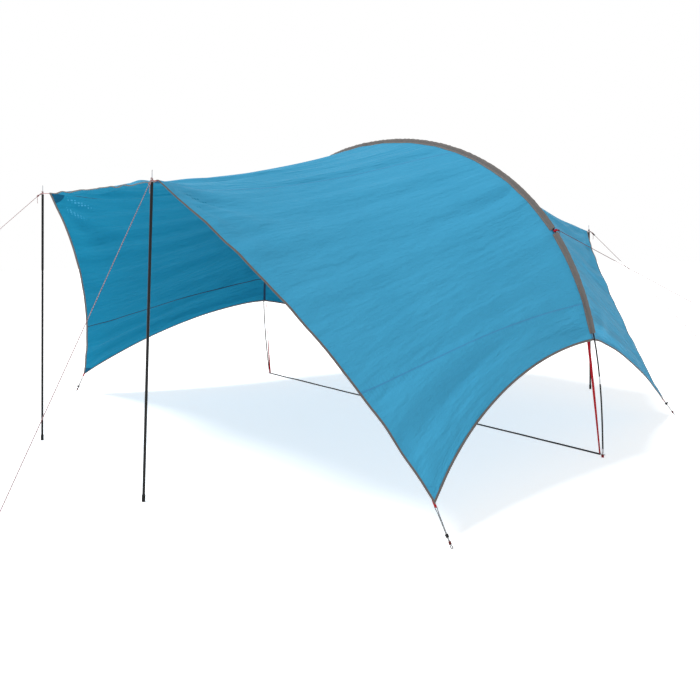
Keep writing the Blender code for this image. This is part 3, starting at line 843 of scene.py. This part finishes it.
def tie_points(corner, end, top_spread):
    """A doubled line from the corner down to a small round loop at the end, and back."""
    along = unit(end - corner)
    aside = unit(np.cross(along, (0, 0, 1)))
    turn_at = np.linalg.norm(end - corner) - TIE_LOOP_RADIUS
    neck, flare, shoulder = (turn_at - before for before in TIE_SWELL_AT)
    stations = [(TIE_START, top_spread), (TIE_START + TIE_NARROWING, TIE_SPREAD), (neck, TIE_SPREAD)]
    stations += [(flare, TIE_SPREAD + 0.0008), (shoulder, TIE_LOOP_RADIUS - 0.001)]
    down = [corner + along * reach + aside * spread for reach, spread in stations]
    back = [corner + along * reach - aside * spread for reach, spread in reversed(stations)]
    bend = []
    for k in range(7):
        turn = math.pi * k / 6
        around = aside * math.cos(turn) + along * math.sin(turn)
        bend.append(corner + along * turn_at + around * TIE_LOOP_RADIUS)
    return down + bend + back


def guy_points(start, end):
    """A nearly straight line with a loop at its end, whose tail lies back beside the line."""
    along = unit(end - start)
    aside = unit(np.cross(along, (0, 0, 1)))
    reach = np.linalg.norm(end - start) - 2 * GUY_LOOP_RADIUS - GUY_LOOP_NECK
    line = []
    for k in range(GUY_SPANS + 1):
        share = k / GUY_SPANS
        sag = 4 * GUY_SAG * share * (1 - share)
        line.append(start + along * reach * share - np.array((0, 0, sag)))
    middle = end - along * GUY_LOOP_RADIUS
    for k in range(13):
        turn = math.radians(GUY_LOOP_START + GUY_LOOP_SWEEP * k / 12)
        line.append(middle + (aside * math.cos(turn) + along * math.sin(turn)) * GUY_LOOP_RADIUS)
    line.append(start + along * reach + aside * GUY_TAIL_GAP)
    return line


def guy_ends(kind, side):
    """Where a guy line starts, clear of its eyelet or loop, and where it meets the floor."""
    if kind == "arch":
        angle = arch_angle(SLEEVE_BREAK)
        hold = arch_line(angle, arch_angle(SLEEVE_BREAK + 0.0004), 2)[0]
        return mirrored(hold + unit(ARCH_GUY_OUT) * ARCH_GUY_STANDOFF, side), mirrored(ARCH_GUY_END, side)
    eyelet, end = (mirrored(ENDS[kind][key], side) for key in ("eyelet", "guy_end"))
    level = end - eyelet
    level[2] = 0
    return eyelet + unit(level) * GUY_START, end


def softened(points, step=0.02):
    """The same line with points closer together on its long straight runs."""
    line = [points[0]]
    for before, after in zip(points, points[1:]):
        parts = max(1, round(float(np.linalg.norm(after - before)) / step))
        line += [before + (after - before) * k / parts for k in range(1, parts + 1)]
    return np.array(line)


def coil(center, along, radius, pitch, turns):
    along = unit(along)
    side = unit(np.cross(along, (0.3, 0.2, 1)))
    up = np.cross(side, along)
    line = []
    for k in range(int(turns * 12) + 1):
        turn = 2 * math.pi * k / 12
        run = (k / 12 - turns / 2) * pitch
        line.append(center + along * run + radius * (side * math.cos(turn) + up * math.sin(turn)))
    return line


def bight(eye, neck, radius, gap, normal=(0, 0, 1)):
    """A loop that leaves the neck, goes round the eye and comes back."""
    along = unit(neck - eye)
    aside = unit(np.cross(along, normal))
    line = [neck + aside * gap]
    for turn in np.radians(np.linspace(70, 290, 19)):
        line.append(eye + radius * (along * math.cos(turn) + aside * math.sin(turn)))
    return line + [neck - aside * gap]


def hanging(start, out, length, curl):
    """A loose tail that bends over and hangs."""
    line = []
    for k in range(13):
        share = k / 12
        drop = np.array((0, 0, -1.0)) * length * (share**1.5)
        line.append(start + out * curl * math.sin(share * 2.2) + drop)
    return line


def settle(obj, slot, *replaced, body="root"):
    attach(obj, body)
    if replaced:
        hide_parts(*replaced)
    return obj


def wound(name, center, along, radius, turns, strand, finish):
    """Turns of cord round a line: a knot or a lashing."""
    return tube(name, coil(center, along, radius, KNOT_PITCH, turns), strand, finish, 8)


def build_guys(finishes):
    for name, side in SIDES:
        for kind in ("front", "rear", "arch"):
            build_guy(kind, name, side, finishes["guy_flecked" if kind == "front" else "guy_dark"])


def build_guy(kind, name, side, finish):
    start, end = guy_ends(kind, side)
    line = softened(guy_points(start, end))
    label = f"{kind}_guy_line_{name}"
    cord = settle(tube(label, line, CORD_RADIUS, finish), "guy_cord", f"{kind}_guy_{name}")
    along = unit(line[5] - line[0])
    neck = end - along * (2 * GUY_LOOP_RADIUS + GUY_LOOP_NECK / 2)
    extras = [wound(f"{label}_end_knot", neck, along, 0.0047, 5, FINE_STRAND, finish)]
    knot_at = start + along * (KNOT_FROM_LOOP if kind == "arch" else KNOT_FROM_EYELET)
    if kind != "arch":
        eye = mirrored(ENDS[kind]["eyelet"], side) + (0, 0, LOOP_OVER_EYELET)
        loop = bight(eye, knot_at, 0.0062, 0.0030)
        extras.append(tube(f"{label}_loop", loop, FINE_STRAND, finish, 8))
        above = eye + (0, 0, WRAP_OVER_LOOP)
        extras.append(wound(f"{label}_wrap", above, (0, 0, 1), 0.0056, 3, FINE_STRAND, finish))
    extras.append(wound(f"{label}_knot", knot_at, along, 0.0050, 4, STRAND, finish))
    tail = hanging(knot_at + along * 0.004, along, TAIL_LENGTH, 0.006)
    extras.append(tube(f"{label}_tail", tail, 0.0018, finish, 8))
    for extra in extras:
        settle(extra, "guy_cord")


def build_ties(finishes):
    for name, side in SIDES:
        for end, at in ENDS.items():
            corner, floor = mirrored(at["low"], side), mirrored(at["tie_end"], side)
            build_tie(end, name, corner, floor, finishes)
            build_lock_button(end, name, side, corner, floor, finishes["plastic_black"])


def build_tie(end, name, corner, floor, finishes):
    """A doubled cord from the low corner to the floor, over the corner's tab and knotted at its end."""
    spread = ENDS[end]["tie_top_spread"]
    line = softened(tie_points(corner, floor, spread))
    label = f"{end}_tie_cord_{name}"
    finish = finishes["tie_dark"]
    cord = settle(tube(label, line, CORD_RADIUS, finish), "tie_cord", f"{end}_tie_{name}")
    along = unit(floor - corner)
    aside = unit(np.cross(along, (0, 0, 1)))
    over = [corner + along * TIE_START + aside * spread]
    for turn in np.radians(np.linspace(20, 160, 9)):
        reach = TIE_START - 0.005 * math.sin(turn)
        over.append(corner + along * reach + aside * BIGHT_HALF_WIDTH * math.cos(turn))
    over.append(corner + along * TIE_START - aside * spread)
    neck = floor - along * TIE_KNOT_FROM_END
    extras = [
        settle(tube(f"{label}_bight", over, STRAND, finish, 8), "tie_cord"),
        settle(wound(f"{label}_knot", neck, along, 0.0066, 4, STRAND, finishes["guy_dark"]), "guy_cord"),
    ]


def build_lock_button(end, name, side, corner, floor, finish):
    """A cord lock's button, facing up and out, and the two ribs round its barrel."""
    along = unit(floor - corner)
    middle = corner + (floor - corner) * ENDS[end]["lock_share"]
    out = np.array((side * 0.35, ENDS[end]["along"] * 0.75, 0.25))
    out = unit(out - along * (out @ along))
    body = f"{end}_cord_lock_{name}"
    base = middle + out * LOCK_BUTTON_FROM_AXIS
    piece = turned(f"{end}_lock_button_{name}", LOCK_BUTTON, base, out, finish, 20)
    settle(piece, "black_plastic", body=body)
    for level, shift in LOCK_RIB_AT:
        rib = turned(f"{end}_lock_rib_{level}_{name}", LOCK_RIB, middle + along * shift, along, finish, 28)
        settle(rib, "black_plastic", body=body)


# ---- Sleeves, bands and webbing ----


SLEEVE_TUNNEL = ((-0.0130, -0.0075), (-0.0120, 0.0040), (-0.0082, 0.0132), (0.0, 0.0180))
SLEEVE_TUNNEL += tuple((-across, high) for across, high in reversed(SLEEVE_TUNNEL[:3]))
SLEEVE_MOUTH = 0.014
SLEEVE_MOUTH_CLOSED = 0.80


def arch_column(height):
    """The net's column, on the right, at this height on the arch."""
    line = arch_row(FINE, 0)[: WALL_CELLS * FINE + 1]
    return float(np.interp(height, line[:, 2], np.arange(len(line)) / FINE))


def arch_at(columns, drop):
    line = arch_row(FINE, drop)
    spots = np.arange(len(line)) / FINE
    return np.column_stack([np.interp(columns, spots, line[:, k]) for k in range(3)])


def flange(cloth, columns, distance, lift):
    return cloth.aside(0 * columns, columns, (1, 0), distance, lift)


def sleeve(name, front, rear, columns, seed, finish):
    """A cloth tunnel over the rod, sewn down along both edges onto the canopy."""
    line = arch_at(columns, 0)
    fore = unit((0, 1, ARCH_LEAN))
    along = units(np.gradient(line, axis=0))
    up = np.cross(fore, along)
    run = np.concatenate([[0], np.cumsum(np.linalg.norm(np.diff(line, axis=0), axis=1))])
    rows = [flange(front, columns, SLEEVE_HALF_WIDTH, 0.0022), flange(front, columns, 0.0165, 0.0026)]
    spots = [0.0, 0.17]
    for across, high in SLEEVE_TUNNEL:
        loose = 0.0012 * ripples(run, np.full(len(run), across * 3), seed, (0.03, 0.12), (0.03, 0.08))
        slant = 0.0010 * np.sin(2 * math.pi * (run / 0.055 + across / 0.030))
        rows.append(line + fore * across + up * (high + loose + slant)[:, None])
        spots.append((across / SLEEVE_HALF_WIDTH + 1) / 2)
    rows += [flange(rear, columns, 0.0165, 0.0026), flange(rear, columns, SLEEVE_HALF_WIDTH, 0.0022)]
    rows += [flange(rear, columns, SLEEVE_HALF_WIDTH, 0.0012), flange(rear, columns, 0.010, 0.0010)]
    rows += [flange(front, columns, 0.010, 0.0010), flange(front, columns, SLEEVE_HALF_WIDTH, 0.0012)]
    spots += [0.83, 1.0, 1.0, 0.7, 0.3, 0.0]
    rings = np.stack(rows, axis=1)
    ends = []
    for end, step in ((0, 1), (-1, -1)):
        mouth = line[end] + (rings[end] - line[end]) * SLEEVE_MOUTH_CLOSED
        ends.append([mouth + along[end] * step * SLEEVE_MOUTH])
    rings = np.concatenate([ends[0], rings, ends[1]])
    return loft(name, rings, finish, spots + spots[:1], sharp=50)


def build_sleeves(front, rear, finish):
    """The crown's sleeve and one for each side, with a break between them."""
    foot = arch_column(SLEEVE_FOOT)
    low, high = (arch_column(SLEEVE_BREAK + shift * SLEEVE_BREAK_GAP / 2) for shift in (-1, 1))
    crown = sleeve("crown_sleeve_cloth", front, rear, np.linspace(high, COLUMNS - high, 420), 41, finish)
    made = [settle(crown, "sleeve_fabric", "sleeve_crown")]
    for name, side in SIDES:
        columns = np.linspace(foot, low, 90)
        columns = columns if side > 0 else (COLUMNS - columns)[::-1]
        piece = sleeve(f"side_sleeve_cloth_{name}", front, rear, columns, 43, finish)
        made.append(settle(piece, "sleeve_fabric", f"sleeve_{name}"))
    return made


def build_arch_bands(front, rear, finishes):
    """The seam where the two cloths meet under the rod, taped outside and inside."""
    made = []
    columns = np.linspace(0.004, COLUMNS - 0.004, 340)
    for label, face, slot in (("outer", 1, "seam_outer"), ("inner", -1, "seam_dark")):
        rows = [flange(cloth, columns, 0.012, face * 0.0011) for cloth in (front, rear)]
        middle = arch_at(columns, CANOPY_DROP - face * 0.0012)
        back = [flange(cloth, columns, 0.012, face * 0.0004) for cloth in (rear, front)]
        rings = np.stack([rows[0], middle, rows[1], *back], axis=1)
        band = loft(f"arch_seam_{label}", rings, finishes[slot], (0.0, 0.5, 1.0, 1.0, 0.0, 0.0))
        made.append(settle(band, "canopy_fabric"))
    return made


def eased(share):
    return share * share * (3 - 2 * share)


def build_straps(finishes):
    x = np.linspace(-GROUND_STRAP_END, GROUND_STRAP_END, 241)
    lift = 0.0011 + 0.0008 * (1 + ripples(x, x * 0, 71, (0.18, 0.9), (9, 10), 8)).clip(0, 3)
    drift = 0.0016 * ripples(x, x * 0, 72, (0.5, 1.6), (9, 10), 8)
    centers = np.column_stack([x, drift, lift])
    half = np.tile((0, GROUND_STRAP_HALF, 0), (len(x), 1))
    band = strap("ground_strap_webbing", centers, half, 0.0018, finishes["black_webbing"])
    settle(band, "black_webbing", "ground_strap")
    for name, side in SIDES:
        top, low = mirrored(HEM_STRAP_TOP, side), mirrored(HEM_STRAP_FOOT, side)
        share = np.linspace(0, 1, 80)
        turn = np.radians(20 + 70 * eased(share))
        slack = np.outer(np.sin(math.pi * share), (side * 0.004, -0.003, 0))
        centers = top + np.outer(share, low - top) + slack
        width = HEM_STRAP_HALF * (1 - 0.12 * np.sin(math.pi * share))
        across = np.column_stack([side * np.cos(turn), np.sin(turn), 0 * turn]) * width[:, None]
        piece = strap(f"hem_strap_webbing_{name}", centers, across, 0.0018, finishes["red_webbing"])
        settle(piece, "red_webbing", f"hem_strap_{name}")
        start = mirrored((ARCH_HALF_WIDTH + 0.004, -0.012, 0.0052), side)
        out = unit((side * 0.55, -0.80, 0))
        run = np.linspace(0, TAIL_STRAP_LENGTH, 24)
        tail = start + np.outer(run, out)
        hump = np.sin(run / TAIL_STRAP_LENGTH * math.pi) ** 2
        tail[:, 2] = 0.0016 + 0.0036 * np.exp(-run / 0.012) + 0.0025 * hump
        across = np.tile(unit(np.cross(out, (0, 0, 1))) * TAIL_STRAP_HALF, (len(run), 1))
        piece = strap(f"hem_strap_tail_{name}", tail, across, 0.0016, finishes["red_webbing"])
        settle(piece, "red_webbing")


def lay_strip(obj, origin, along, aside, width):
    """Sets the strip coordinates of a flat piece from where its points lie."""
    spots = np.empty(len(obj.data.vertices) * 3, np.float32)
    obj.data.vertices.foreach_get("co", spots)
    loops = np.empty(len(obj.data.loops), np.int32)
    obj.data.loops.foreach_get("vertex_index", loops)
    away = spots.reshape(-1, 3)[loops] - origin
    uv = np.column_stack([away @ along, away @ aside / width + 0.5]).astype(np.float32)
    obj.data.uv_layers["strip"].data.foreach_set("uv", uv.ravel())


def build_corner_tab(end, name, side, finishes):
    """A raised corner: a webbing tab sewn on the cloth, with a bare metal eyelet over the spike."""
    length = ENDS[end]["tab_length"]
    eye = mirrored(ENDS[end]["eyelet"], side)
    toward = mirrored(raised_corner(end), side) - eye
    toward[2] = 0
    toward = unit(toward)
    aside = np.cross((0, 0, 1), toward)
    half, thick = TAB_HALF, TAB_HALF_THICKNESS
    limit = math.atan2(half, length)
    angles = sorted({2 * math.pi * k / 72 for k in range(72)} | {limit, 2 * math.pi - limit})
    rings = []
    for turn in angles:
        reach = half
        if math.cos(turn) > 0.01:
            reach = min(length / math.cos(turn), half / max(abs(math.sin(turn)), 1e-6))
        out = toward * math.cos(turn) + aside * math.sin(turn)
        rim = reach - TAB_BEVEL
        profile = ((TAB_BORE, -thick), (rim, -thick), (reach, -thick * 0.5))
        profile += ((reach, thick * 0.5), (rim, thick), (TAB_BORE, thick))
        rings.append([eye + out * radius + np.array((0, 0, lift)) for radius, lift in profile])
    tab = loft(f"{end}_tab_webbing_{name}", rings, finishes["red_webbing"], [0] * 7, "joined")
    lay_strip(tab, eye, toward, aside, 2 * half)
    settle(tab, "red_webbing", f"{end}_tab_{name}")
    ring = turned(f"{end}_eyelet_{name}", EYELET, eye, (0, 0, 1), finishes["bare_metal"], 36)
    return [tab, settle(ring, "bare_metal")]


def build_low_tab(end, name, side, finishes):
    """A low corner: folded webbing sewn through the point of the cloth, for the tie."""
    corner, floor = (mirrored(ENDS[end][key], side) for key in ("low", "tie_end"))
    along = unit(floor - corner)
    aside = unit(np.cross(along, (0, 0, 1)))
    out = unit(np.cross(aside, along))
    line = splined(np.array([corner + along * a + out * b for a, b in LOW_TAB]), 4)
    half = np.tile(aside * LOW_TAB_HALF, (len(line), 1))
    tab = strap(f"{end}_low_tab_{name}", line, half, 0.0013, finishes["red_webbing"])
    return [settle(tab, "red_webbing")]


def build_arch_loop(name, side, finishes):
    """The webbing loop round the rod at the break in its sleeve, which the arch guy line pulls on."""
    line = arch_line(arch_angle(SLEEVE_BREAK - 0.005), arch_angle(SLEEVE_BREAK + 0.005), 3) * (side, 1, 1)
    rod, up = line[1], unit(line[2] - line[0])
    out = unit(ARCH_GUY_OUT) * (side, 1, 1)
    out = unit(out - up * (out @ up))
    turns = splined(np.array(bight(rod, rod + out * 0.0215, 0.0085, 0.0016, up)), 3)
    half = np.tile(up * ARCH_LOOP_HALF, (len(turns), 1))
    piece = strap(f"arch_guy_loop_{name}", turns, half, 0.0014, finishes["red_webbing"])
    return settle(piece, "red_webbing")


# ---- Canopy ----


def build_canopy(finishes):
    front, rear = Cloth("front"), Cloth("rear")
    shared = build_sleeves(front, rear, finishes["sleeve_grey"]) + build_arch_bands(front, rear, finishes)
    for end, cloth, others in (("front", front, shared), ("rear", rear, [])):
        # The inner skin's colour is the cloth's own blue plus painted light shining through the cloth.
        skins = [finishes["canopy_outer"], finishes["canopy_inner_painted_backlight"]]
        sheet = build_cloth(f"{end}_canopy", cloth, skins, end == "front")
        nodes = [f"canopy_{end}_roof", f"canopy_{end}_wall_right", f"canopy_{end}_wall_left"]
        settle(sheet, "canopy_fabric", *nodes)
        extras = build_tapes(end, cloth, finishes) + build_seams(end, cloth, finishes)
        extras += build_patches(end, cloth, finishes) + others
        for name, side in SIDES:
            extras += build_corner_tab(end, name, side, finishes)
            extras += build_low_tab(end, name, side, finishes)


def build_tapes(end, cloth, finishes):
    """Folded tape over every free edge of the cloth."""
    finish = finishes["edge_tape"]
    last = WALL_CELLS + ROOF_CELLS
    wall = np.linspace(0, WALL_CELLS, 120)
    roof = np.linspace(WALL_CELLS, last, 130)
    rows = np.linspace(0, LENGTH_CELLS, 170)
    edges = (
        (f"{end}_top_tape", LENGTH_CELLS, roof, (-1, 0)),
        (f"{end}_side_tape_right", LENGTH_CELLS, wall, (-1, 0)),
        (f"{end}_side_tape_left", LENGTH_CELLS, COLUMNS - wall, (-1, 0)),
        (f"{end}_hem_tape_right", rows, 0, (0, 1)),
        (f"{end}_hem_tape_left", rows, COLUMNS, (0, -1)),
    )
    made = []
    for name, row, column, inward in edges:
        rings = edge_rings(cloth, row, column, inward)
        made.append(settle(loft(name, rings, finish, TAPE_ACROSS), "sleeve_fabric"))
    return made


def build_seams(end, cloth, finishes):
    rows = np.linspace(0.02, LENGTH_CELLS, 170)
    seams = [("roof_seam", WALL_CELLS + 0 * rows)]
    if end == "front":
        seams.append(("wall_seam", wall_seam(rows)))
    made = []
    for label, columns in seams:
        for name, side in SIDES:
            across = columns if side > 0 else COLUMNS - columns
            for face, lift, half, finish in (
                ("outside", 0.0007, 0.0050, finishes["seam_outer"]),
                ("inside", -0.0012, 0.0055, finishes["seam_dark"]),
            ):
                piece = seam_strip(f"{end}_{label}_{face}_{name}", cloth, rows, across, half, lift, finish)
                made.append(settle(piece, "canopy_fabric"))
    return made


def build_patches(end, cloth, finishes):
    made = []
    for name, side in SIDES:
        up = WALL_CELLS if side > 0 else COLUMNS - WALL_CELLS
        down = 0 if side > 0 else COLUMNS
        raised = (((0, -side), (-1, 0)), ((-1, 0), (0, side)))
        low = (((0, side), (-1, 0)),)
        for face, lift in (("outside", 0.0018), ("inside", -0.0018)):
            # Inside patches take a darker copy of the inner cloth, which is painted shade.
            finish = finishes["canopy_outer" if lift > 0 else "patch_inner_painted_shade"]
            for label, column, sweeps in (("raised", up, raised), ("low", down, low)):
                piece = corner_patch(
                    f"{end}_{label}_patch_{face}_{name}", cloth, LENGTH_CELLS, column,
                    sweeps, PATCH_REACH[label], lift, finish,
                )
                made.append(settle(piece, "canopy_fabric"))
    return made


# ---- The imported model's own pieces, and the studio ----


def paint(nodes, finishes):
    for node, obj in nodes.items():
        if obj.hide_render:
            continue
        name = "tube_black"
        if node.endswith("_foot"):
            name = "rubber_black"
        elif node.endswith("_spike") or node.startswith(("arch_ferrule", "arch_tip", "foot_ring")):
            name = "bare_metal"
        elif node.startswith("arch_rod"):
            name = "rod_black"
        elif "lock" in node or "runner" in node:
            name = "plastic_black"
        obj.data.materials.clear()
        obj.data.materials.append(finishes[name])
        obj.data.shade_smooth()
        obj.data.set_sharp_from_angle(angle=math.radians(35))


def build_floor(finish):
    size = 30.0
    corners = [(-size, -size, 0), (size, -size, 0), (size, size, 0), (-size, size, 0)]
    add_mesh("studio_floor", corners, [[0, 1, 2, 3]], {}, [finish])


CLOTHS = (
    ("canopy_outer", (0.060, 0.345, 0.560), (0.043, 0.290, 0.485), 0.52, 0.02),
    # Inner face: the cloth's own blue made darker and more saturated as painted light shining through the
    # cloth.
    ("canopy_inner_painted_backlight", (0.012, 0.220, 0.365), (0.008, 0.175, 0.300), 0.66, 0.01),
    # Painted shade: a darker copy of the inner cloth, where the doubled cloth lets less light through.
    ("patch_inner_painted_shade", (0.006, 0.100, 0.190), (0.004, 0.075, 0.150), 0.66, 0.01),
)
WEBBINGS = (
    ("seam_outer", (0.050, 0.28, 0.50), (0.036, 0.22, 0.42), 0.55, False),
    ("seam_dark", (0.008, 0.045, 0.09), (0.005, 0.028, 0.06), 0.70, False),
    ("sleeve_grey", (0.175, 0.158, 0.148), (0.120, 0.108, 0.102)),
    ("edge_tape", (0.150, 0.132, 0.122), (0.105, 0.092, 0.086)),
    ("red_webbing", (0.44, 0.007, 0.016), (0.28, 0.004, 0.010)),
    ("black_webbing", (0.010, 0.010, 0.011), (0.006, 0.006, 0.006)),
)
CORDS = (
    ("guy_flecked", (0.20, 0.004, 0.010), (0.50, 0.42, 0.42), 0.26),
    ("guy_dark", (0.085, 0.014, 0.013), (0.20, 0.050, 0.045), 0.30),
    ("tie_dark", (0.010, 0.010, 0.012), (0.035, 0.035, 0.040), 0.20),
)
HARD = (
    ("tube_black", (0.010, 0.009, 0.010), (0.006, 0.006, 0.006), 0.36, 0.20),
    ("rod_black", (0.010, 0.010, 0.011), (0.006, 0.006, 0.006), 0.36, 0.22, 0.0, (1, 1, 0.08)),
    ("bare_metal", (0.62, 0.62, 0.63), (0.46, 0.46, 0.48), 0.34, 0.5, 1.0),
    ("rubber_black", (0.014, 0.014, 0.014), (0.009, 0.009, 0.009), 0.78, 0.2),
    ("plastic_black", (0.012, 0.012, 0.013), (0.007, 0.007, 0.008), 0.42, 0.3),
)


def make_finishes():
    kinds = (
        (cloth_finish, CLOTHS), (webbing_finish, WEBBINGS), (cord_finish, CORDS), (hard_finish, HARD),
    )
    return {row[0]: make(*row) for make, rows in kinds for row in rows}


def main():
    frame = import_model()
    place_camera()
    finishes = make_finishes()
    build_guys(finishes)
    build_ties(finishes)
    light_studio()
    build_floor(floor_finish())
    build_canopy(finishes)
    build_straps(finishes)
    for name, side in SIDES:
        build_arch_loop(name, side, finishes)
    paint(frame["nodes"], finishes)
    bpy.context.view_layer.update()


main()
